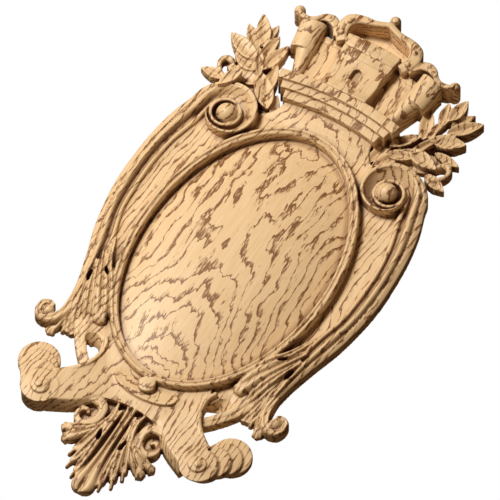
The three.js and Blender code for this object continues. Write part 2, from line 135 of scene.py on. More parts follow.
def between(rail_a, rail_b, top, closed=False, under=0.0):
    """A raised form between two rails; top(t) is its upper line as (share of the way, height)."""
    last = len(rail_a) - 1
    stations = []
    for i, ((ua, va), (ub, vb)) in enumerate(zip(rail_a, rail_b)):
        line = top(i / last)
        loop = [(line[0][0], under), *line, (line[-1][0], under)]
        stations.append([(ua + (ub - ua) * f, va + (vb - va) * f, h) for f, h in loop])
    return sweep(stations, closed)


def mix(a, b, t):
    """A section part of the way from one to another with as many points."""
    return [(fa + (fb - fa) * t, ha + (hb - ha) * t) for (fa, ha), (fb, hb) in zip(a, b)]


def ease(t, low, high):
    """Nothing before low, all after high, and a gentle start and stop between them."""
    x = min(max((t - low) / (high - low), 0.0), 1.0)
    return x * x * (3 - 2 * x)


# %% [markdown]
# Flat forms, such as the strapwork sheet, are an outline sawn to shape and carved down to a level,
# with the sharp arris eased. Here the outline becomes one face, the face is extruded to its height
# and the front edge gets a small round bevel. Turned-looking forms, such as balls, cups and studs,
# are a profile spun round an axis that stands out of the wall.

# %% Slabs, turned forms and mirrored pairs
def slab(outline, height, arris=0.6, base=0.0):
    """An outline from the wall up to a height, its front edge rounded."""
    bm = bmesh.new()
    face = bm.faces.new([bm.verts.new((u, v, base)) for u, v in outline])
    raised = bmesh.ops.extrude_face_region(bm, geom=[face])["geom"]
    top = [item for item in raised if isinstance(item, bmesh.types.BMVert)]
    bmesh.ops.translate(bm, verts=top, vec=(0, 0, height - base))
    closed_body(bm)
    if arris > 0:
        rim = [e for e in bm.edges if all(v.co.z > height - 1e-4 for v in e.verts)]
        bmesh.ops.bevel(bm, geom=rim, offset=arris, affect="EDGES", segments=2, profile=0.5,
                        material=-1)
    return bm


def turned(profile, u, v, steps=24):
    """A closed profile of (radius, height), from the axis back to it, spun round (u, v)."""
    bm = bmesh.new()
    line = [bm.verts.new((r, 0, h)) for r, h in profile]
    edges = [bm.edges.new(pair) for pair in zip(line, line[1:])]
    bmesh.ops.spin(bm, geom=line + edges, cent=(0, 0, 0), axis=(0, 0, 1), dvec=(0, 0, 0),
                   angle=2 * math.pi, steps=steps * DETAIL, use_merge=True)
    bmesh.ops.translate(bm, verts=bm.verts, vec=(u, v, 0))
    return closed_body(bm)


def arc(cr, ch, radius, start, end, steps):
    """Points of (radius, height) on an arc, from one angle to another in degrees."""
    angles = [math.radians(start + (end - start) * i / steps) for i in range(steps + 1)]
    return [(max(cr + radius * math.cos(a), 0.0), ch + radius * math.sin(a)) for a in angles]


def knob(u, v, radius, height, steps=20):
    """A ball on a post of its own width."""
    return turned([(0, 0), (radius, 0), *arc(0, height, radius, 0, 90, 8)], u, v, steps)


def mirrored(bm):
    """The same form on the left-hand side."""
    twin = bm.copy()
    bmesh.ops.scale(twin, vec=(-1, 1, 1), verts=twin.verts)
    return closed_body(twin)


def pair(bm):
    return [bm, mirrored(bm)]


def whole(outline):
    """The right half of an outline, carried on round the left."""
    left = [(-u, v) for u, v in reversed(outline)]
    points = outline + left
    return [p for i, p in enumerate(points) if i == 0 or math.dist(p, points[i - 1]) > 0.01]


# %% [markdown]
# Forms are joined by a boolean, as the wood is one. The Manifold solver is fast and exact on closed
# bodies. Every form is handed over as an object, joined with the others and thrown away.

# %% Joining and cutting
def as_object(bm, name):
    mesh = bpy.data.meshes.new(name)
    bm.to_mesh(mesh)
    bm.free()
    piece = bpy.data.objects.new(name, mesh)
    bpy.context.scene.collection.objects.link(piece)
    return piece


def boolean(body, forms, operation):
    """Joins all the forms to the body, or cuts them away."""
    batch = bpy.data.collections.new("forms")
    tools = [as_object(bm, "form") for bm in forms]
    for tool in tools:
        batch.objects.link(tool)
    step = body.modifiers.new(operation.lower(), "BOOLEAN")
    step.operation = operation
    step.solver = "MANIFOLD"
    step.operand_type = "COLLECTION"
    step.collection = batch
    bpy.context.view_layer.update()
    evaluated = body.evaluated_get(bpy.context.evaluated_depsgraph_get())
    body.modifiers.clear()
    body.data = bpy.data.meshes.new_from_object(evaluated)
    for tool in tools:
        bpy.data.objects.remove(tool)
    bpy.data.collections.remove(batch)
    return body


# %% [markdown]
# The ground is the sunk level between the ring and the side frames. A carver lowers it with a flat
# gouge and leaves it nearly level. It is one slab, with a neck that rises to carry the crown.

# %% The ground and the neck
GROUND = [(0, 150), (60, 140), (75, 128), (118, 120), (140, 60), (140, -20), (126, -80),
          (112, -112), (108, -140), (98, -160), (60, -176), (0, -178)]
NECK_EDGE = [(84, 128), (80, 140), (66, 147.5), (58, 153), (53, 160), (50.5, 168), (50, 180)]
NECK_TOP = 17.0
NECK_FOOT = 12.5


def neck():
    right = smooth(NECK_EDGE, 14)
    left = [(-u, v) for u, v in right]

    def top(t):
        h = NECK_FOOT + (NECK_TOP - NECK_FOOT) * ease(t, 0.1, 0.9)
        return [(0, h - 1), (0.006, h - 0.3), (0.015, h), (0.985, h), (0.994, h - 0.3), (1, h - 1)]
    return between(left, right, top)


print("the neck rises from", NECK_FOOT, "to", NECK_TOP, "mm")

# %% [markdown]
# The ring is a double bead with a narrow groove between, run at one width right round the oval. The
# boss inside it is the showpiece of the board: a low cushion that is nearly flat in the middle and
# falls away quickly at its edge, which a superellipse gives with one exponent.

# %% The ring and the boss
OVAL_SIDES = 96
RING_SECTION = [(0, 19.4), (0.03, 20.8), (0.09, 22.2), (0.17, 23), (0.26, 23.2), (0.35, 23),
                (0.43, 22.2), (0.485, 20.9), (0.51, 19.4), (0.545, 19.4), (0.58, 20.9),
                (0.65, 22.1), (0.74, 22.6), (0.84, 22.2), (0.93, 21), (1, 18.6)]


def oval(inset, sides=OVAL_SIDES):
    """Points on the oval, that far inside the ring's outer edge."""
    angles = [2 * math.pi * i / (sides * DETAIL) for i in range(sides * DETAIL)]
    return [((OVAL_A - inset) * math.cos(a),
             OVAL_V + (OVAL_B - inset) * math.sin(a)) for a in angles]


def ring():
    return between(oval(0), oval(RING_WIDTH), lambda t: RING_SECTION, closed=True)


def boss():
    steps = 10 * DETAIL
    profile = [(0, 0), (1, 0)]
    for i in range(steps + 1):
        r = math.cos(i / steps * math.pi / 2)
        profile.append((0.0 if i == steps else r, BOSS_EDGE + BOSS_RISE * (1 - r ** BOSS_POWER)))
    bm = turned(profile, 0, 0, OVAL_SIDES // 2)
    bmesh.ops.scale(bm, vec=(OVAL_A - RING_WIDTH + 1, OVAL_B - RING_WIDTH + 1, 1), verts=bm.verts)
    bmesh.ops.translate(bm, verts=bm.verts, vec=(0, OVAL_V, 0))
    return bm


def recess(top=40.0):
    """The space inside the ring, cut clean before the boss is set in it."""
    return slab(oval(RING_WIDTH - 1), top, 0, BOSS_EDGE - 3)


print("the boss is", 2 * (OVAL_A - RING_WIDTH), "mm wide and rises", BOSS_RISE, "mm")

# %% [markdown]
# Each side frame is a moulding: a sloping fillet, a groove, a fat roll, a deep cove and a thin bead
# against the ground. At its head it winds into a volute. Outer and inner edge are two rails, and the
# section is stretched between them, so that every member narrows together as the scroll tightens.

# %% The side frames, their volutes and cups
FRAME_OUTER = [(121, -133), (124.5, -112), (132.5, -82), (141.5, -52), (147.5, -22), (151, 8),
               (151, 40), (148.5, 74), (143, 105), (135, 130)]
FRAME_INNER = [(109, -133), (111, -112), (112.5, -82), (117, -52), (125.5, -22), (127.8, 8),
               (128, 40), (124, 74), (115.5, 105), (111.8, 125)]
FRAME_SECTION = [(0, 12), (0.03, 13), (0.2, 15), (0.235, 15.1), (0.25, 13.4), (0.285, 13.2),
                 (0.31, 15), (0.35, 16.8), (0.41, 18.3), (0.48, 18.9), (0.545, 18.2), (0.6, 16.2),
                 (0.65, 13), (0.7, 10.6), (0.745, 9.8), (0.775, 10.6), (0.79, 13.6), (0.83, 15.4),
                 (0.88, 16), (0.94, 15.7), (1, 14)]
VOLUTE_SECTION = [(0, 22.6), (0.02, 24), (0.06, 24.9), (0.1, 24.5), (0.115, 22.8), (0.135, 22.8),
                  (0.15, 24.2), (0.19, 24.8), (0.25, 24.3), (0.27, 22.9), (0.32, 21.9), (0.4, 20.2),
                  (0.48, 18.8), (0.56, 17.6), (0.63, 16.7), (0.7, 16), (0.76, 15.5), (0.82, 15),
                  (0.88, 14.6), (0.94, 14.3), (1, 14)]
VOLUTE_START = 15.0
VOLUTE_END = 350.0
VOLUTE_WIDE = 40.0
VOLUTE_TIGHT = 17.8
BALL_RADIUS = 11.2
BALL_SHIFT = -2.0  # the ball sits a little off the middle of its cup, towards the neck


def side_frame():
    straight = 30 * DETAIL
    spiral = 34 * DETAIL
    outer = smooth(FRAME_OUTER, straight)
    inner = smooth(FRAME_INNER, straight)
    for i in range(1, spiral + 1):
        share = i / spiral
        angle = math.radians(VOLUTE_START + (VOLUTE_END - VOLUTE_START) * share)
        wide = VOLUTE_WIDE - (VOLUTE_WIDE - VOLUTE_TIGHT) * share ** 1.2
        for rail, radius in ((outer, wide), (inner, CUP_RADIUS - 1)):
            rail.append((VOLUTE_U + radius * math.cos(angle), VOLUTE_V + radius * math.sin(angle)))
    turn = straight / (straight + spiral)
    return between(outer, inner, lambda t: mix(FRAME_SECTION, VOLUTE_SECTION,
                                               ease(t, turn - 0.03, turn + 0.16)))


def cup():
    rim = arc(CUP_RADIUS - 1.9, 19.6, 1.9, 0, 180, 8)
    profile = [(0, 0), (CUP_RADIUS, 0), *rim, (CUP_RADIUS - 4.2, 13), (CUP_RADIUS - 5, 12), (0, 12)]
    return turned(profile, VOLUTE_U, VOLUTE_V, 28)


print("each volute winds from", VOLUTE_WIDE, "to", VOLUTE_TIGHT, "mm round its cup")

# %% [markdown]
# At its foot each frame runs out into a small open curl round a ball. The band is swept between two
# smooth rails again. Its upper face is hollow, with a thin lip on either side.

# %% The curls at the foot of the frames
CURL_OUTER = [(109, -133), (110.5, -147), (114.5, -160), (121, -169.5), (131, -173), (140, -170),
              (144.5, -161), (143, -151.5), (135.5, -147), (128, -149.5)]
CURL_INNER = [(121, -133), (120.5, -146), (122.5, -155.5), (126, -162.5), (131.5, -166.5),
              (136.5, -164.5), (138.2, -159), (136.6, -154), (132, -152.5), (128.5, -153.5)]
CURL_SECTION = [(0, 12), (0.06, 13.5), (0.2, 15), (0.34, 15.6), (0.5, 14.6), (0.66, 14.2),
                (0.8, 15.2), (0.92, 15.6), (1, 14)]


def curl():
    steps = 24 * DETAIL
    return between(smooth(CURL_OUTER, steps), smooth(CURL_INNER, steps), lambda t: CURL_SECTION)


print("a curl has", len(CURL_OUTER), "set points on either rail")

# %% [markdown]
# Below the oval lies the strapwork: a flat sheet with an arm to either side that rolls up at its end
# like a strip of leather. The arm rises towards its roll, with a bevel along its lower edge and a
# raised lip along its upper one. Each roll is four leaning turns, cut free behind on the right.

# %% The strapwork sheet, its arms and straps
SHEET = [(0, -160), (50, -150), (58, -158), (61, -172), (63, -185), (68, -197), (77, -208),
         (82, -216), (78, -238), (64, -236), (50, -227), (34, -220.5), (25, -218.5), (12, -216),
         (0, -215)]
ARM_UPPER = [(56, -175), (63, -187), (69.5, -198.5), (79, -209), (91, -222)]
ARM_LOWER = [(26, -219), (38, -228.5), (49, -240), (63, -248.6), (77, -255.5)]
LIP_OUTER = [(66, -160), (61.5, -170), (63, -184), (69, -197), (79, -208), (92, -218)]
LIP_INNER = [(62, -158), (57, -169), (58.5, -186), (65, -200), (75.5, -211.5), (88, -222)]
STRAP_OUTER = [(104, -140), (101, -158), (92, -174), (80, -189), (68, -201)]
STRAP_INNER = [(88, -146), (85, -160), (78, -174), (70, -184), (62, -192)]
STRAP_SECTION = [(0, 11), (0.04, 12), (0.36, 12.6), (0.4, 11.2), (0.46, 11.2), (0.5, 13.2),
                 (0.96, 13.4), (1, 12)]


def arm():
    steps = 16 * DETAIL

    def top(t):
        inner, outer, edge = 15.8 + 5 * t, 15.6 + 5.4 * t, 13 - 4 * t
        return [(0, inner - 0.6), (0.02, inner), (0.5, inner), (0.87, outer), (0.9, outer - 0.5),
                (1, edge)]
    return between(smooth(ARM_UPPER, steps), smooth(ARM_LOWER, steps), top)


def lip():
    steps = 18 * DETAIL

    def top(t):
        rise = 2.4 * ease(t, 0.15, 0.45)
        return [(0, 15 + rise), (0.15, 16.6 + rise), (0.5, 17.2 + rise), (0.85, 17 + rise),
                (1, 16 + rise)]
    return between(smooth(LIP_OUTER, steps), smooth(LIP_INNER, steps), top)


def strap():
    steps = 14 * DETAIL
    return between(smooth(STRAP_OUTER, steps), smooth(STRAP_INNER, steps), lambda t: STRAP_SECTION)


print("the sheet stands", SHEET_HEIGHT, "mm out of the wall")

# %% [markdown]
# A roll is four thick turns that step down and away from the front one. Each turn is swept from its
# narrow back to its front, so the leaning stack keeps its dark gaps.

# %% The rolls at the ends of the arms
ROLL_TURNS = [(91.4, -242.8, 19.5, 21.0), (100, -230, 18.5, 16.5), (106.5, -219.5, 19.5, 12.0),
              (111, -210.5, 21.5, 8.0)]
TURN_THICKNESS = 9.0
TURN_LEAN = 0.45
COIL_RADIUS = 9.2


def turn_of_roll(number):
    """One turn, from its narrow back up to its front, which has a rounded arris."""
    u, v, radius, height = ROLL_TURNS[number]
    nearest = number + 1 == len(ROLL_TURNS)
    next_u, next_v = (u, v) if nearest else ROLL_TURNS[number + 1][:2]
    low = 0 if nearest else height - TURN_THICKNESS
    sides = 40 * DETAIL
    rows = [(1, low, radius), (0.12, height - 1.2, radius), (0.04, height - 0.4, radius - 0.3),
            (0, height, radius - 1)]
    stations = []
    for share, h, r in rows:
        cu, cv = u + (next_u - u) * TURN_LEAN * share, v + (next_v - v) * TURN_LEAN * share
        angles = [2 * math.pi * k / sides for k in range(sides)]
        stations.append([(cu + r * math.cos(a), cv + r * math.sin(a), h) for a in angles])
    return sweep(stations)


def roll_post():
    """The left-hand roll keeps the wood behind its front turn."""
    u, v, radius, height = ROLL_TURNS[0]
    return turned([(0, 0), (radius - 1, 0), (radius - 1, height - 2), (0, height - 2)], -u, v, 28)


def coil():
    """The strip's inner end, a raised disc that leans towards the arm, with a small eye on it."""
    u, v, _, height = ROLL_TURNS[0]
    disc = turned([(0, height - 3), (COIL_RADIUS, height - 3), (COIL_RADIUS, height + 1.7),
                   (COIL_RADIUS - 0.7, height + 2.5), (0, height + 2.8)], u - 0.5, v, 24)
    eye = turned([(0, height), (3.6, height), (3.5, height + 4), (2.8, height + 4.7),
                  (0, height + 5)], u + 0.6, v - 0.6, 16)
    return [disc, eye]


print("each roll has", len(ROLL_TURNS), "turns of", TURN_THICKNESS, "mm")

# %% [markdown]
# In each shoulder of the strapwork is a drop-shaped hollow. It narrows as it deepens, because a gouge
# can't cut a straight wall in so small a hole. The left one goes right through, and the right one
# keeps its floor.

# %% The hollows, the shield end and its boss
DROP = smooth([(62, -188), (63.5, -172), (69, -160), (77, -155), (84, -159), (84.5, -166),
               (77, -175), (62, -188)], 42)[:-1]
DROP_TAPER = 0.62
TONGUE_HALF = 34.0
TONGUE_V = -189.0
TONGUE_DROP = 14.0


def hollow(depth):
    u0, v0 = DROP[0]
    rows = [(1.06, SHEET_HEIGHT + 9), (1.06, SHEET_HEIGHT + 1), (1, SHEET_HEIGHT - 0.6),
            (0.93, SHEET_HEIGHT - 4), (0.76, (SHEET_HEIGHT + depth) / 2 - 1), (DROP_TAPER, depth)]
    return sweep([[(u0 + (u - u0) * s, v0 + (v - v0) * s, h) for u, v in DROP] for s, h in rows])


def tongue():
    """The shield end under the ring, which stands proud of the sheet along its rounded edge."""
    steps = 24 * DETAIL
    angles = [(i / steps * 2 - 1) * math.pi / 2 for i in range(steps + 1)]
    lower = [(TONGUE_HALF * math.sin(a),
              TONGUE_V - 0.5 - TONGUE_DROP * math.cos(a)) for a in angles]
    upper = [(u, TONGUE_V + 9) for u, _ in lower]
    top = SHEET_HEIGHT + 3.2
    return between(upper, lower, lambda t: [(0, SHEET_HEIGHT - 0.5), (0.93, top), (0.98, top - 0.2),
                                            (1, top - 1)])


def tongue_boss():
    return turned([(0, 0), (9, 0), (9, 21.6), (8.7, 22.3), (8, 22.7), (0, 22.9)], 0, -187.5, 24)


print("a hollow narrows to", DROP_TAPER, "of its width")

# %% [markdown]
# The mural crown stands on three stepped courses that bow upwards. On them is a square keep between
# two short walls, with a round tower at either end that widens upwards. Two studded straps rise over
# the keep to a ball, and a smaller one runs out from each tower.

# %% The cornice and the keep
CORNICE_STEPS = [(0, 11, 33, 69), (10.5, 19, 29, 64), (18.5, 28, 25, 58.5)]
KEEP_FOOT = 24.5
KEEP_TOP = 28.0


def cornice(near, far, height, half):
    steps = 20 * DETAIL
    reach = math.asin(half / CORNICE_RADIUS)
    centre = CORNICE_V - CORNICE_RADIUS

    def bow(inset):
        angles = [reach * (2 * i / steps - 1) for i in range(steps + 1)]
        radius = CORNICE_RADIUS - inset
        return [(radius * math.sin(a), centre + radius * math.cos(a)) for a in angles]
    edge = [(0, height - 0.8), (0.03, height - 0.2), (0.08, height), (0.92, height),
            (0.97, height - 0.2), (1, height - 0.8)]
    return between(bow(near), bow(far), lambda t: edge)


def keep():
    def wall(v0, w0, v1, w1, height):
        return slab([(-w0, v0), (w0, v0), (w1, v1 - 1.6), (w1 * 0.6, v1 - 0.2), (0, v1 + 0.3),
                     (-w1 * 0.6, v1 - 0.2), (-w1, v1 - 1.6)], height, 0.4)

    plinth = between([(-KEEP_FOOT, 200), (-KEEP_FOOT, 210)], [(KEEP_FOOT, 200), (KEEP_FOOT, 210)],
                     lambda t: [(0, KEEP_HEIGHT + 0.7 - 1.4 * t), (1, KEEP_HEIGHT + 0.7 - 1.4 * t)])
    return [plinth, wall(196, KEEP_FOOT, 242, KEEP_TOP - 0.8, KEEP_HEIGHT - 1),
            wall(240.5, KEEP_TOP - 0.4, 250, KEEP_TOP + 0.4, KEEP_HEIGHT + 0.3),
            wall(249.5, KEEP_TOP + 0.2, 264, KEEP_TOP + 2.6, KEEP_HEIGHT + 1.9)]


def keep_window():
    """An arched niche with a sill, cut into the front of the keep."""
    head = [(4.5 * math.cos(a), 226 + 5 * math.sin(a)) for a in np.linspace(0, math.pi, 13)]
    niche = [(4.5, 217), *head, (-4.5, 217)]
    sill = [(-6.4, 216), (6.4, 216), (6.4, 218), (-6.4, 218)]
    above = KEEP_HEIGHT + 6
    return [slab(niche, above, 0, KEEP_HEIGHT - 5.5), slab(sill, above, 0, KEEP_HEIGHT - 1.5)]


print(len(CORNICE_STEPS), "courses, bowed to a radius of", CORNICE_RADIUS, "mm")

# %% [markdown]
# The short walls are flat slabs with one raised course. A tower is a half-round upright that leans
# out as it rises, which a sweep between two edges gives with a half-round top line.

# %% The short walls and the towers
WALL_HEIGHT = 20.5


def curtain():
    wall = slab([(18, 190), (60, 190), (62, 243), (52, 253.5), (26, 257.5)], WALL_HEIGHT, 0.5)
    course = slab([(18, 250.5), (55, 246.5), (56, 250), (52, 254), (18, 258)], WALL_HEIGHT + 1.6,
                  0.5)
    return [wall, course]


def barrel(left, right, low, high, steps, bow=9.0):
    """A half-round upright between two edges, which leans out of the wall as it rises."""
    shares = [0.5 - 0.5 * math.cos(math.pi * i / 12) for i in range(13)]

    def top(t):
        rise = low + (high - low) * t
        return [(f, rise - bow * (1 - math.sqrt(max(1 - (2 * f - 1) ** 2, 0)))) for f in shares]
    return between(smooth(left, steps), smooth(right, steps), top)


def tower():
    shaft = barrel([(48.5, 196), (49.5, 206), (53, 232)], [(62, 196), (63.5, 206), (72, 229)], 24,
                   30, 12)
    collar = barrel([(52, 229.5), (53.5, 243), (54.6, 252)], [(77.5, 225.5), (79.5, 238),
                                                              (80.8, 246)], 31, 33.4, 8)
    crown = barrel([(54.8, 250.5), (55.1, 255), (55.5, 263)], [(80.2, 244.8), (80.9, 249),
                                                               (82, 255)], 32.6, 34.2, 8)
    return [shaft, collar, crown]


print("the short walls stand", WALL_HEIGHT, "mm out of the wall")

# %% [markdown]
# The straps are flat bands with eased edges, swept between two drawn lines like the mouldings. The
# studs are small spun domes.

# %% The studded straps over the crown
SIDE_STRAP_UPPER = [(42, 262), (47, 272.5), (53, 277), (59.5, 277), (66, 273.5), (71, 267.5),
                    (77, 264), (85, 265), (90, 268)]
SIDE_STRAP_LOWER = [(44, 254), (49.5, 262.5), (55, 266), (60.5, 265.8), (65.5, 262.4), (71, 258.8),
                    (77, 257), (85, 258.6), (90, 263)]
ARCH_OUTER = [(38, 250), (44.5, 260), (47.3, 271), (44.8, 282), (37.5, 288), (27, 290.8), (14, 292),
              (0, 298)]
ARCH_INNER = [(29, 256), (32.5, 263), (33.6, 270), (32.2, 276.5), (27, 280.5), (19, 283), (10, 286),
              (0, 290)]
STUDS = [(37.8, 276.5, 2.8, 33), (38.2, 261, 2.8, 33), (19, 287.6, 1.7, 33), (58, 271.5, 1.8, 30),
         (67.8, 265.2, 1.8, 30), (77.5, 260.6, 1.7, 30)]


def side_strap():
    steps = 22 * DETAIL
    section = [(0, 27), (0.1, 28.6), (0.25, 29.3), (0.75, 30), (0.9, 29.8), (1, 28.6)]
    return between(smooth(SIDE_STRAP_UPPER, steps), smooth(SIDE_STRAP_LOWER, steps),
                   lambda t: section)


def arch():
    steps = 24 * DETAIL
    section = [(0, 30), (0.1, 31.6), (0.25, 32.2), (0.75, 33), (0.9, 32.6), (1, 31)]
    return between(smooth(ARCH_OUTER, steps), smooth(ARCH_INNER, steps), lambda t: section)


def arch_floor():
    return slab([(0, 258), (34, 256), (38, 268), (34, 282), (14, 288), (0, 292)], 9, 0)


def stud(u, v, radius, height):
    return turned([(0, height - 3), (radius, height - 3), *arc(0, height, radius, 0, 90, 5)], u, v,
                  8)


print(len(STUDS), "studs on either side of the crown")

# %% [markdown]
# The laurel leaves are pointed and a little hollow: both halves fall from a sharp rim to the crease
# along the middle, so one half catches the light and the other loses it. A thin rib runs in the
# crease. A leaf is swept from its base to its tip, and its half width follows a sine.

# %% Laurel leaves
LEAF_SECTION = [(0, -0.12), (0.05, 0), (0.16, -0.16), (0.3, -0.5), (0.42, -0.86), (0.47, -1),
                (0.5, -0.7), (0.53, -1), (0.58, -0.86), (0.7, -0.5), (0.84, -0.16), (0.95, 0),
                (1, -0.12)]


def leaf(base, tip, width, low, high):
    """A leaf whose crease lies at low and whose rims stand at high, bending down at its tip."""
    steps = 9 * DETAIL
    start, end = Vector(base), Vector(tip)
    along = end - start
    across = Vector((-along.y, along.x)).normalized()
    rail_a, rail_b = [], []
    for i in range(steps + 1):
        t = i / steps
        half = width / 2 * max(0.06, math.sin(math.pi * t ** 0.85) ** 0.8 if t < 1 else 0)
        middle = start + along * t
        rail_a.append(tuple(middle + across * half))
        rail_b.append(tuple(middle - across * half))

    def top(t):
        depth = (high - low) * (0.25 + 0.75 * math.sin(math.pi * min(t * 1.1, 1)) ** 0.7)
        crest = high - 2.0 * t ** 3
        return [(f, crest + depth * d) for f, d in LEAF_SECTION]
    return between(rail_a, rail_b, top)


RIGHT_SPRAY = [((103, 234), (107, 265), 14, 13, 17), ((99, 224), (91.5, 254), 12, 12, 16),
               ((107, 230), (121.5, 255), 10, 11, 14), ((108, 220), (134.5, 249), 15, 12, 17),
               ((98, 205), (131.5, 219), 17, 13, 17), ((108, 196), (137.5, 194.5), 10, 10, 13),
               ((91, 202), (79, 238), 15, 12, 16), ((94, 205), (98, 233), 9, 13, 17),
               ((66, 178), (88, 206), 12, 13, 18), ((68, 168), (95.5, 180), 13, 14, 18),
               ((86, 184), (120, 178), 17, 14, 18), ((56, 152), (66, 192), 14, 10, 14),
               ((112, 169), (138.5, 162), 13, 10, 13), ((88, 180), (106, 216), 9, 13, 18),
               ((62, 150), (90, 190), 14, 12, 16), ]
LEFT_SPRAY = [((102, 216), (122.5, 250), 15, 14, 17), ((105, 214), (102.5, 247), 10, 12, 15),
              ((106, 209), (129.5, 233), 13, 12, 16), ((101, 198), (139.5, 214.5), 18, 14, 17),
              ((98, 202), (94.5, 235), 11, 13, 17), ((91, 190), (80.5, 230), 14, 13, 17),
              ((72, 166), (79.5, 205), 13, 13, 17), ((62, 154), (92, 190), 20, 14, 17),
              ((95, 188), (124, 196), 16, 13, 16), ((86, 176), (124, 180), 18, 11, 14),
              ((88, 182), (106, 214), 9, 13, 18), ((54, 150), (63, 176), 10, 10, 13),
              ((117, 166), (146, 165.5), 12, 10, 13), ((104, 176), (117, 149), 12, 25, 27), ]
SPRAY_WEB = [(52, 148), (60, 170), (80, 192), (94, 208), (108, 224), (112, 208), (104, 195),
             (122, 192), (116, 174), (94, 166), (80, 150)]
TENDRIL_OUTER = [(116, 184), (122, 190.5), (129, 191.5), (134.5, 186), (134.5, 178), (129, 169),
                 (120, 163)]
TENDRIL_INNER = [(120, 180), (124, 184), (128, 184.5), (129.5, 181), (128.5, 177), (124, 172),
                 (116, 168)]


def tendril():
    steps = 14 * DETAIL
    section = [(0, 11), (0.12, 12.6), (0.3, 13.6), (0.5, 14), (0.7, 13.6), (0.88, 12.6), (1, 11)]
    return between(smooth(TENDRIL_OUTER, steps), smooth(TENDRIL_INNER, steps), lambda t: section)


def spray(leaves, side):
    made = [leaf(*one) for one in leaves]
    return made if side > 0 else [mirrored(one) for one in made]


print(len(LEFT_SPRAY), "leaves on the left and", len(RIGHT_SPRAY), "on the right")

# %% [markdown]
# Acanthus is made of lobes that start in a bundle and fan out. Each lobe is a pair of rounded ridges
# with a veined groove between, and it ends in a few pointed fingers. A lobe is a sweep whose width
# opens along its line. Its fingers are short sweeps of the same kind, fanned round its end.

# %% Acanthus lobes
LOBE_SECTION = [(0, -1), (0.04, -0.72), (0.12, -0.3), (0.2, -0.05), (0.27, 0), (0.35, -0.1),
                (0.42, -0.34), (0.47, -0.56), (0.5, -0.6), (0.53, -0.56), (0.58, -0.34),
                (0.65, -0.1), (0.73, 0), (0.8, -0.05), (0.88, -0.3), (0.96, -0.72), (1, -1)]
SLIM_SECTION = [(0, -1), (0.06, -0.7), (0.18, -0.3), (0.34, -0.05), (0.5, 0), (0.66, -0.05),
                (0.82, -0.3), (0.94, -0.7), (1, -1)]


def ribbon(line, width, section, crown, start=0.4, blunt=0.5, steps=12):
    """A rounded form along (u, v, h) points; it opens from start to full width, then closes."""
    steps *= DETAIL
    middle = smooth(line, steps)
    rail_a, rail_b, heights = [], [], []
    for i, (u, v, h) in enumerate(middle):
        t = i / steps
        before, after = middle[max(i - 1, 0)], middle[min(i + 1, steps)]
        along = Vector((after[0] - before[0], after[1] - before[1])).normalized()
        close = math.sqrt(max(1 - max((t - 0.82) / 0.18, 0) ** 2, 0))
        half = width / 2 * (start + (1 - start) * ease(t, 0, 0.6)) * (blunt + (1 - blunt) * close)
        rail_a.append((u - along.y * half, v + along.x * half))
        rail_b.append((u + along.y * half, v - along.x * half))
        heights.append(h)
    return between(rail_a, rail_b, lambda t: [(f, heights[round(t * steps)] + crown * d) for f,
                                              d in section])


def lobe(line, width, fingers=3, spread=26.0, reach=7.0, crown=5.0):
    """A two-ridged lobe with pointed fingers fanned round its end."""
    made = [ribbon(line, width, LOBE_SECTION, crown, blunt=0.6)]
    (u0, v0, h0), (u1, v1, h1) = line[-2], line[-1]
    heading = math.atan2(v1 - v0, u1 - u0)
    for k in range(fingers):
        offset = 0 if fingers == 1 else (2 * k / (fingers - 1) - 1)
        turn = heading + math.radians(spread) * offset
        side = Vector((-math.sin(heading), math.cos(heading))) * offset * width * 0.2
        length = reach * (1 - 0.25 * abs(offset))
        root = (u1 - math.cos(heading) * width * 0.75 + side.x * 0.6,
                v1 - math.sin(heading) * width * 0.75 + side.y * 0.6)
        mid = (u1 + side.x, v1 + side.y)
        tip = (mid[0] + math.cos(turn) * length, mid[1] + math.sin(turn) * length)
        points = [(*root, h1 + 0.8), (*mid, h1 + 0.4), (*tip, h1 - 3.0)]
        made.append(ribbon(points, width * 0.42, SLIM_SECTION, crown * 0.8, start=0.7, blunt=0.25,
                           steps=7))
    return made


# %% [markdown]
# Six lobes fan down from the foot of the frame. Each is given by the line of its middle, its width,
# and the number, spread and reach of its fingers. A low slab behind them ties them to the blank.

# %% The acanthus at the foot of each frame
SIDE_LOBES = [
    ([(117, -52, 15), (105, -84, 22), (93, -104, 25), (84, -118, 22)], 11, 1, 0, 3),
    ([(117, -72, 16), (100, -106, 24), (88, -127, 24), (81, -143, 19)], 17, 3, 26, 6),
    ([(118, -84, 17), (108, -112, 23), (99, -134, 20), (94, -148, 14)], 11, 2, 20, 5),
    ([(118, -96, 16), (111, -126, 19), (104, -150, 14), (98.5, -164, 9)], 10, 2, 20, 7),
    ([(119, -110, 15), (114, -136, 17), (110.5, -154, 13), (107, -166, 9)], 9, 2, 18, 6),
    ([(119, -118, 14), (117, -142, 16), (117, -160, 12), (119.5, -172, 8)], 12, 3, 22, 7),
]
SIDE_LEAF = [(116, -60), (74, -114), (69, -148), (92, -156), (98, -170), (110, -168), (118, -140),
             (124, -100)]


def side_acanthus():
    made = [slab(SIDE_LEAF, 8, 0)]
    for line, width, fingers, spread, reach in SIDE_LOBES:
        made += lobe(line, width, fingers, spread, reach)
    return made


print(len(SIDE_LOBES), "lobes at the foot of each frame")

# %% [markdown]
# The pendant leaf is made in the same way, with a central stem and a small open curl on either side
# that grows out from under the sheet.

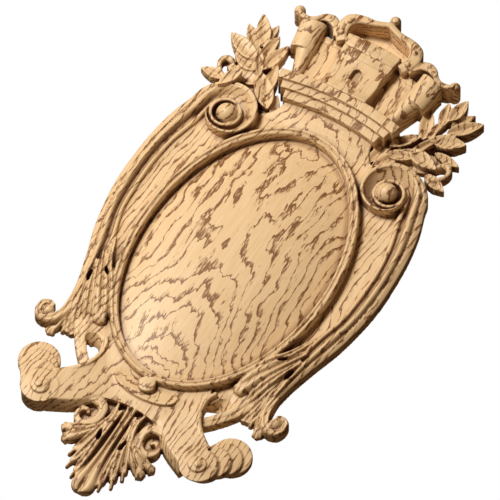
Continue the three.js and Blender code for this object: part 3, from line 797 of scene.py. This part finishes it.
# %% The acanthus under the strapwork
FOOT_LOBES = [
    ([(8, -222, 14), (11, -258, 15), (13, -286, 12), (15, -303, 8)], 8, 1, 0, 8),
    ([(12, -224, 14), (14, -256, 16), (19, -280, 12), (23.5, -295, 8)], 9, 1, 0, 8),
    ([(14, -228, 14), (17, -252, 16), (23, -270, 12), (28, -282, 8)], 10, 1, 0, 8),
    ([(18, -246, 13), (28, -262, 16), (37, -269, 13), (42, -273, 10)], 12, 3, 24, 6),
    ([(22, -248, 13), (32, -258, 16), (42, -262, 13), (48, -263, 10)], 11, 3, 24, 6),
    ([(15, -216, 13), (13, -230, 16), (15, -244, 16), (21, -256, 13)], 8, 0, 0, 0),
]
FOOT_LEAF = [(0, -212), (20, -214), (30, -225), (38, -242), (28, -254), (45, -262), (46, -274),
             (28, -266), (22, -284), (15, -296), (12, -308), (0, -312)]
FOOT_CURL_OUTER = [(44, -222), (34, -219), (24, -223), (19.5, -232), (20, -244), (27, -254),
                   (38, -257.5), (46.5, -252), (48.5, -243), (44, -236), (38, -235), (34.5, -240)]
FOOT_CURL_INNER = [(46, -231), (38, -229.5), (31, -231), (28, -236), (29, -243), (33, -248.5),
                   (38.5, -250), (42.5, -247), (43, -243), (41, -240.5), (39, -240), (37, -242)]
STEM_EDGE = [(6, -214), (5, -240), (5.5, -268), (8, -292), (12, -308), (11, -317), (5, -322)]
STEM_SECTION = [(0, 11), (0.06, 13.4), (0.16, 15.4), (0.26, 16), (0.36, 15), (0.44, 13.2),
                (0.5, 12.6), (0.56, 13.2), (0.64, 15), (0.74, 16), (0.84, 15.4), (0.94, 13.4),
                (1, 11)]


def foot_curl():
    def top(t):
        drop = 4 * t
        return [(0, 13.6 - drop), (0.1, 15 - drop), (0.25, 15.8 - drop), (0.45, 15.6 - drop),
                (0.7, 16 - drop), (0.85, 15.6 - drop), (1, 13.4 - drop)]
    steps = 26 * DETAIL
    band = between(smooth(FOOT_CURL_OUTER, steps), smooth(FOOT_CURL_INNER, steps), top)
    return [band, slab([(44, -224), (26, -224), (22, -240), (30, -253), (40, -254), (46, -243)], 6,
                       0)]


def stem():
    right = smooth(STEM_EDGE, 18 * DETAIL)
    left = [(-u, v) for u, v in right]
    return between(right, left, lambda t: [(f, h - 2 * ease(t, 0, 0.08) - 5 * t) for f,
                                           h in STEM_SECTION])


def foot_acanthus():
    made = []
    for line, width, fingers, spread, reach in FOOT_LOBES:
        made += lobe(line, width, fingers, spread, reach)
    return made


print(len(FOOT_LOBES), "lobes on either side of the stem")

# %% [markdown]
# Carvers open up a leaf with a few drilled eyes and slits, which read as black from a step away. They
# are narrow tapered bodies that are cut out at the end.

# %% Drilled eyes and slits
EYES = [((115.5, -104), (2.6, 7.4), -12), ((102, -94), (1.9, 6.0), -38),
        ((13.5, -258), (2.4, 7.0), -8),
        ((18.5, -233), (1.2, 6.5), -8)]


def eye_cut(centre, radii, lean):
    u, v = centre
    bm = turned([(0, 5), (0.7, 5), (1, 16), (1.15, 40), (0, 40)], 0, 0, 10)
    bmesh.ops.scale(bm, vec=(radii[0], radii[1], 1), verts=bm.verts)
    bmesh.ops.rotate(bm, cent=(0, 0, 0), matrix=Matrix.Rotation(math.radians(lean), 3, "Z"),
                     verts=bm.verts)
    bmesh.ops.translate(bm, vec=(u, v, 0), verts=bm.verts)
    return bm


print(len(EYES), "eyes on either side")

# %% [markdown]
# Now the blank is put together. The ground and the neck come first and the oval is sunk into them.
# Then every other form is added, and the hollows, the window and the eyes are cut last.

# %% Joining the forms into one carving
carving = as_object(slab(whole(GROUND), FIELD_HEIGHT, 0), "cartouche_carving")
boolean(carving, [neck(), slab(whole(SHEET), SHEET_HEIGHT, 0.5)], "UNION")
boolean(carving, [recess()], "DIFFERENCE")

forms = [ring(), boss(), tongue(), tongue_boss(), roll_post(), stem(), *keep()]
forms += [cornice(*step) for step in CORNICE_STEPS]
for form in [side_frame(), cup(), curl(), arm(), lip(), strap(), *map(turn_of_roll, range(4)),
             *coil()]:
    forms += pair(form)
for form in [knob(VOLUTE_U + BALL_SHIFT, VOLUTE_V, BALL_RADIUS, 18, 28), knob(131, -159, 6.6, 11),
             *curtain(), *tower()]:
    forms += pair(form)
for form in [side_strap(), arch(), arch_floor(), tendril(), slab(SPRAY_WEB, 8, 0), *foot_curl()]:
    forms += pair(form)
for form in [*[stud(*one) for one in STUDS], *side_acanthus(), *foot_acanthus(),
             slab(FOOT_LEAF, 7, 0), knob(90, 267, 5.8, 22)]:
    forms += pair(form)
forms += spray(RIGHT_SPRAY, 1) + spray(LEFT_SPRAY, -1) + [knob(0, 303, 5.8, 24)]
print(len(forms), "forms made in", round(time.time() - START, 1), "s")
boolean(carving, forms, "UNION")
print("joined:", len(carving.data.polygons), "faces at", round(time.time() - START, 1), "s")

cuts = [hollow(2), mirrored(hollow(-2)), *keep_window()]
for one in EYES:
    cuts += pair(eye_cut(*one))
boolean(carving, cuts, "DIFFERENCE")
print("cut:", len(carving.data.polygons), "faces at", round(time.time() - START, 1), "s")

# %% [markdown]
# A real carving has no perfectly sharp crease or arris: tools and wear ease them all. Remeshing the
# whole body on a fine grid of cubes does the same to every edge at once and gives faces of even size.
# The Decimate modifier then takes away what the flat places don't need.

# %% Easing the whole body and thinning its faces
GRAIN_OF_MESH = 0.8
MOST_TRIANGLES = 190000


def ease_edges(piece):
    grid = piece.modifiers.new("even faces", "REMESH")
    grid.mode = "VOXEL"
    grid.voxel_size = GRAIN_OF_MESH
    bpy.context.view_layer.update()
    evaluated = piece.evaluated_get(bpy.context.evaluated_depsgraph_get())
    piece.modifiers.clear()
    piece.data = bpy.data.meshes.new_from_object(evaluated)


def thin_faces(piece):
    piece.data.calc_loop_triangles()
    before = len(piece.data.loop_triangles)
    if before <= MOST_TRIANGLES:
        return before
    fewer = piece.modifiers.new("fewer faces", "DECIMATE")
    fewer.ratio = MOST_TRIANGLES / before
    bpy.context.view_layer.update()
    evaluated = piece.evaluated_get(bpy.context.evaluated_depsgraph_get())
    piece.modifiers.clear()
    piece.data = bpy.data.meshes.new_from_object(evaluated)
    return before


ease_edges(carving)
print("eased:", len(carving.data.polygons), "faces at", round(time.time() - START, 1), "s")
before = thin_faces(carving)
carving.data.calc_loop_triangles()
print("thinned from", before, "to", len(carving.data.loop_triangles), "triangles at",
      round(time.time() - START, 1), "s")

# %% [markdown]
# The bench frame is turned up onto the wall: v becomes the height, h points to the viewer, and
# millimetres become metres. The turn goes into the mesh, so the object itself stays unturned.

# %% Standing the carving up
STAND_UP = Matrix.Scale(0.001, 4) @ Matrix.Rotation(math.pi / 2, 4, "X")
carving.data.transform(STAND_UP)
carving.data.shade_smooth()
carving.data.set_sharp_from_angle(angle=math.radians(50))
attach(carving, "root")
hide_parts("cartouche")

# %% [markdown]
# The blank is flat-sawn oak. Growth rings are tubes round the pith of the tree, which ran up the
# plaque a little behind the board. The face cuts them flat in the middle, which gives broad flames,
# and steeply at the sides, which gives close lines. So the pattern starts with the distance from the
# pith, then slow noise makes it wander and two knots bend it. As it is worked out in the solid, it
# also runs on correctly over every wall and leaf, which a flat picture of wood wouldn't do.

# %% Colours, and one function that adds a node
def linear(code):
    """An sRGB hex colour as linear RGBA."""
    parts = [int(code[i:i + 2], 16) / 255 for i in (1, 3, 5)]
    return [c / 12.92 if c <= 0.04045 else ((c + 0.055) / 1.055) ** 2.4 for c in parts] + [1.0]


def add(tree, kind, settings=None, **inputs):
    """Adds a node, sets its properties, and sets or links its inputs."""
    node = tree.nodes.new(kind)
    for name, value in (settings or {}).items():
        setattr(node, name, value)
    for name, value in inputs.items():
        numbered = name[0] == "i" and name[1:].isdigit()
        socket = node.inputs[int(name[1:]) if numbered else name]
        if isinstance(value, bpy.types.NodeSocket):
            tree.links.new(value, socket)
        else:
            socket.default_value = value
    return node


# %% [markdown]
# The distance from the pith is the length of a cross product. Three noises push it about: a slow
# one for the sweep of the board, a middle one for its flames and a fine one for their torn edges.

# %% The growth rings
PITH = (-6.0, 58.0, 0.0)  # mm, behind the wall plane
PITH_LINE = (0.03, 0.07, 1.0)
RING_SPACING = 5.4
KNOTS = [((-8, 12, -172), 46, 40), ((-8, 12, 136), 40, 30)]  # place, reach and pull, mm
# size across, deep, along; and pull, mm
WANDER = [((70, 70, 105), 27), ((11, 11, 38), 9.0), ((2.6, 2.6, 13), 2.8)]


def fibre_noise(tree, place, size, detail=2.0):
    """Noise between 0 and 1 with features of that size across, into and along the board, in mm."""
    scaled = add(tree, "ShaderNodeVectorMath", {"operation": "DIVIDE"}, i0=place,
                 i1=size).outputs[0]
    return add(tree, "ShaderNodeTexNoise", Vector=scaled, Scale=1.0, Detail=detail,
               Roughness=0.5).outputs[0]


def ring_phase(tree, place):
    """Where a point lies within its growth ring, from 0 at the start of spring growth to 1."""
    from_pith = add(tree, "ShaderNodeVectorMath", {"operation": "SUBTRACT"}, i0=place,
                    i1=PITH).outputs[0]
    crossed = add(tree, "ShaderNodeVectorMath", {"operation": "CROSS_PRODUCT"}, i0=from_pith,
                  i1=PITH_LINE).outputs[0]
    radius = add(tree, "ShaderNodeVectorMath", {"operation": "LENGTH"}, i0=crossed).outputs["Value"]
    for size, pull in WANDER:
        noise_value = fibre_noise(tree, place, size)
        radius = add(tree, "ShaderNodeMath", {"operation": "MULTIPLY_ADD"}, i0=noise_value,
                     i1=float(pull), i2=radius).outputs[0]
    for knot, reach, pull in KNOTS:
        away = add(tree, "ShaderNodeVectorMath", {"operation": "DISTANCE"}, i0=place,
                   i1=knot).outputs["Value"]
        bend = add(tree, "ShaderNodeMapRange", {"interpolation_type": "SMOOTHSTEP"}, i0=away,
                   i2=float(reach), i3=float(pull), i4=0.0).outputs[0]
        radius = add(tree, "ShaderNodeMath", {"operation": "ADD"}, i0=radius, i1=bend).outputs[0]
    rings = add(tree, "ShaderNodeMath", {"operation": "DIVIDE"}, i0=radius,
                i1=RING_SPACING).outputs[0]
    return add(tree, "ShaderNodeMath", {"operation": "FRACT"}, i0=rings).outputs[0]


# %% [markdown]
# One material dresses the whole carving, as it is one blank. It gives the eye the pale summer wood,
# the brown pores of the spring wood, and painted shade in the hollows that outlines the forms.

# %% Carved oak
def carved_oak():
    """Pale oak with brown flames of open pores and painted shade in the recesses, under a thin coat
    of wax.
    """
    material = bpy.data.materials.new("carved oak")
    material.use_nodes = True
    tree = material.node_tree
    shader = tree.nodes["Principled BSDF"]
    coordinates = add(tree, "ShaderNodeTexCoord").outputs["Object"]
    place = add(tree, "ShaderNodeVectorMath", {"operation": "SCALE"}, i0=coordinates,
                Scale=1000.0).outputs[0]
    # Spring growth is crowded with pores: dark at the start of each ring and fading through it.
    crowded = add(tree, "ShaderNodeMapRange", i0=fibre_noise(tree, place, (6, 6, 24)), i1=0.4,
                  i2=0.62, i3=0.16, i4=0.8).outputs[0]
    spring = add(tree, "ShaderNodeMapRange", i0=ring_phase(tree, place), i1=0.0, i2=crowded, i3=1.0,
                 i4=0.0).outputs[0]
    pores = fibre_noise(tree, place, (0.75, 0.75, 6.5), 3.0)
    crowd = add(tree, "ShaderNodeMath", {"operation": "MULTIPLY_ADD"}, i0=pores, i1=2.0,
                i2=spring).outputs[0]
    flame = add(tree, "ShaderNodeMapRange", i0=crowd, i1=1.45, i2=1.75, i3=0.0, i4=1.0).outputs[0]
    # Summer wood stays pale, with a faint silky streak along the fibres.
    streak = fibre_noise(tree, place, (1.6, 1.6, 40), 2.0)
    summer = add(tree, "ShaderNodeMix", {"data_type": "RGBA"}, i0=streak, i6=linear("#e9c18a"),
                 i7=linear("#ffe9c4")).outputs[2]
    wood = add(tree, "ShaderNodeMix", {"data_type": "RGBA"}, i0=flame, i6=summer,
               i7=linear("#8d5f38")).outputs[2]
    # Painted shade: where the AO node finds the surface closed in, the wood colour is darkened
    # towards brown, which makes the carving read from a step away.
    openness = add(tree, "ShaderNodeAmbientOcclusion", {"samples": 8}, Distance=0.009).outputs["AO"]
    unshaded_share = add(tree, "ShaderNodeMapRange", i0=openness, i1=0.3, i2=0.92, i3=0.0, i4=1.0).outputs[0]
    painted_recess_shade = add(tree, "ShaderNodeMix", {"data_type": "RGBA", "blend_type": "MULTIPLY"}, i0=1.0,
                i6=wood, i7=linear("#6b4020")).outputs[2]
    # painted shade in the recesses, mixed over the plain wood colour
    colour = add(tree, "ShaderNodeMix", {"data_type": "RGBA"}, i0=unshaded_share, i6=painted_recess_shade,
                 i7=wood).outputs[2]
    tree.links.new(colour, shader.inputs["Base Color"])
    relief = add(tree, "ShaderNodeBump", {"invert": True}, Strength=0.35, Distance=0.0004,
                 Height=flame).outputs[0]
    tree.links.new(relief, shader.inputs["Normal"])
    shader.inputs["Roughness"].default_value = 0.5
    shader.inputs["Coat Weight"].default_value = 0.12
    shader.inputs["Coat Roughness"].default_value = 0.3
    return material


carving.data.materials.clear()
carving.data.materials.append(carved_oak())

# %% [markdown]
# The plaque hangs on a wall and is seen from below and to its right, so the studio is simple: a pale
# floor far below, a soft key light near the camera's left shoulder and a weak one from behind.

# %% Studio floor, lights and camera
TO_CAMERA = Vector((0.265, -0.853, -0.4497)).normalized()
IMAGE_UP = Vector((-0.433, -0.522, 0.735)).normalized()
IMAGE_RIGHT = IMAGE_UP.cross(TO_CAMERA).normalized()
CAMERA_DISTANCE = 23.0
VIEW_WIDTH = 0.5
SENSOR = 36.0


def point_behind_pixel(px, py):
    """The point of the wall plane behind a pixel of the 500 by 500 picture, in metres."""
    turn = math.radians(30.5)
    ux, uy = px - 242.5, (256.5 - py) / 0.853
    u, v = ux * math.cos(turn) - uy * math.sin(turn), ux * math.sin(turn) + uy * math.cos(turn)
    return Vector((u / 1000, 0, v / 1000))


def aimed(data, name, place, toward, up):
    """Links a light or camera that looks at a point, with its upper side towards up."""
    thing = bpy.data.objects.new(name, data)
    bpy.context.scene.collection.objects.link(thing)
    back = (place - toward).normalized()
    right = up.cross(back).normalized()
    axes = Matrix((right, back.cross(right), back)).transposed().to_4x4()
    thing.matrix_world = Matrix.Translation(place) @ axes
    return thing


centre = point_behind_pixel(250, 250)
lens = bpy.data.cameras.new("camera")
lens.sensor_width = SENSOR
lens.lens = SENSOR * CAMERA_DISTANCE / VIEW_WIDTH
lens.clip_end = 60
camera = aimed(lens, "camera", centre + TO_CAMERA * CAMERA_DISTANCE, centre, IMAGE_UP)
bpy.context.scene.camera = camera

floor_bm = bmesh.new()
bmesh.ops.create_grid(floor_bm, x_segments=1, y_segments=1, size=2,
                      matrix=Matrix.Translation((0, 0, -3.2)))
floor = as_object(floor_bm, "studio_floor")
floor_paint = bpy.data.materials.new("pale floor paint")
floor_paint.use_nodes = True
floor_shader = floor_paint.node_tree.nodes["Principled BSDF"]
floor_shader.inputs["Base Color"].default_value = linear("#e8e6e2")
floor.data.materials.append(floor_paint)


def area_light(name, direction, distance, size, power, tint="#ffffff"):
    data = bpy.data.lights.new(name, "AREA")
    data.shape = "DISK"
    data.size = size
    data.energy = power
    data.color = linear(tint)[:3]
    return aimed(data, name, centre + direction.normalized() * distance, centre, Vector((0, 0, 1)))


key_direction = Vector((0, -1, 0)) * 0.78 + IMAGE_UP * 0.42 - IMAGE_RIGHT * 0.47
area_light("key", key_direction, 2.2, 0.6, 48, "#fff4e4")
area_light("back fill", Vector((-0.4, 1, 0.6)), 2.5, 1.5, 14)

world = bpy.data.worlds.new("studio")
bpy.context.scene.world = world
world.use_nodes = True
sky = world.node_tree
sky.nodes.clear()
seen = add(sky, "ShaderNodeLightPath").outputs["Is Camera Ray"]
dim = add(sky, "ShaderNodeBackground", Color=linear("#d9a06a"), Strength=0.09)
white = add(sky, "ShaderNodeBackground", Color=linear("#ffffff"), Strength=1.0)
both = add(sky, "ShaderNodeMixShader", i0=seen, i1=dim.outputs[0], i2=white.outputs[0])
add(sky, "ShaderNodeOutputWorld", Surface=both.outputs[0])
bpy.context.scene.view_settings.view_transform = "Standard"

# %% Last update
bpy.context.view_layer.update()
print("done in", round(time.time() - START, 1), "s")
